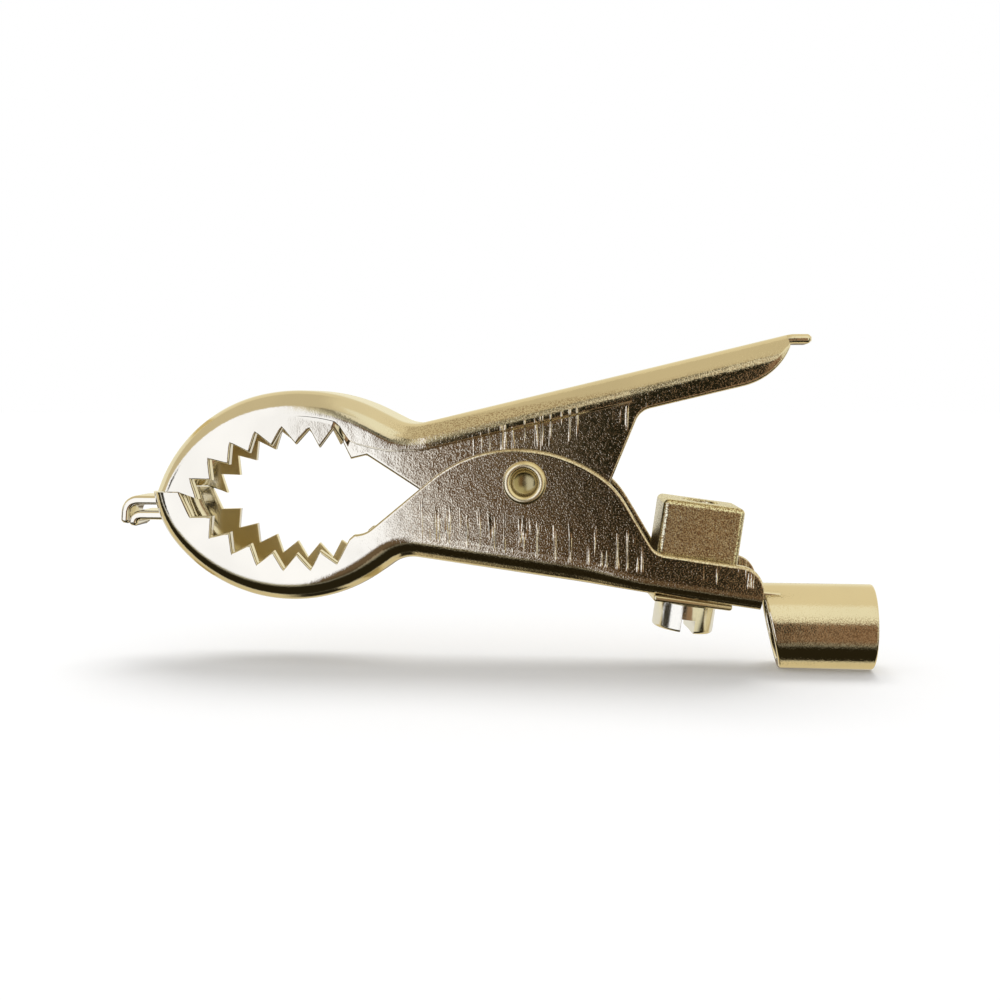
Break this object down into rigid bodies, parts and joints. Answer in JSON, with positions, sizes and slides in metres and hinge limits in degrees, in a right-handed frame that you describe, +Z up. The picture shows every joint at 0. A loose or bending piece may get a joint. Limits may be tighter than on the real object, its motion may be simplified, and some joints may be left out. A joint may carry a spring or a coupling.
{
  "type": "crocodile clip",
  "caption": "Spring crocodile clip with round toothed jaws, a squeeze handle, a screw clamp for bare wire and a rolled socket for a 4 mm plug.",
  "frame": {"origin": "On the axis of the plug socket, in the plane of its mouth.", "axes": "+X runs along the socket and out of its mouth, so the jaws point to -X. +Z is up, towards the squeeze handle. +Y runs across the jaws, away from the side that shows the rolled end of the rivet."},
  "size_m": [0.0487, 0.0073, 0.021],
  "materials": {
    "nickel_sheet": "nickel-plated pressed steel sheet, slightly warm and dimpled",
    "nickel_rivet": "nickel-plated rivet",
    "spring_wire": "plain spring wire",
    "nickel_screw": "nickel-plated turned screw",
    "nickel_plate": "nickel-plated stamped plate",
    "nickel_block": "nickel-plated block with tumbled edges"
  },
  "bodies": {
    "lower_arm": {"lower_jaw": "nickel_sheet", "pivot_rivet": "nickel_rivet", "torsion_spring": "spring_wire", "washer_plate": "nickel_plate"},
    "upper_arm": {"upper_jaw": "nickel_sheet"},
    "screw": {"clamp_screw": "nickel_screw"},
    "block": {"clamp_block": "nickel_block"}
  },
  "joints": [
    {"name": "jaw_hinge", "type": "hinge", "parent": "lower_arm", "child": "upper_arm", "pos_m": [-0.0218, 0, 0.0092], "axis": [0, 1, 0], "range_deg": [0, 24], "stiffness_Nm_per_rad": 0.12, "springref_deg": -28.65, "deforming": ["torsion_spring"]},
    {"name": "screw_turn", "type": "hinge", "parent": "lower_arm", "child": "screw", "pos_m": [-0.01164, 0, 0.00197], "axis": [-0.1357, 0, -0.9907], "range_deg": [-1081, 721]},
    {"name": "block_lift", "type": "slide", "parent": "lower_arm", "child": "block", "axis": [0.1357, 0, 0.9907], "range_m": [-0.00135, 0.0009]}
  ],
  "couplings": [
    {"joint": "screw_turn", "follows": "block_lift", "rad_per_m": 13963}
  ]
}
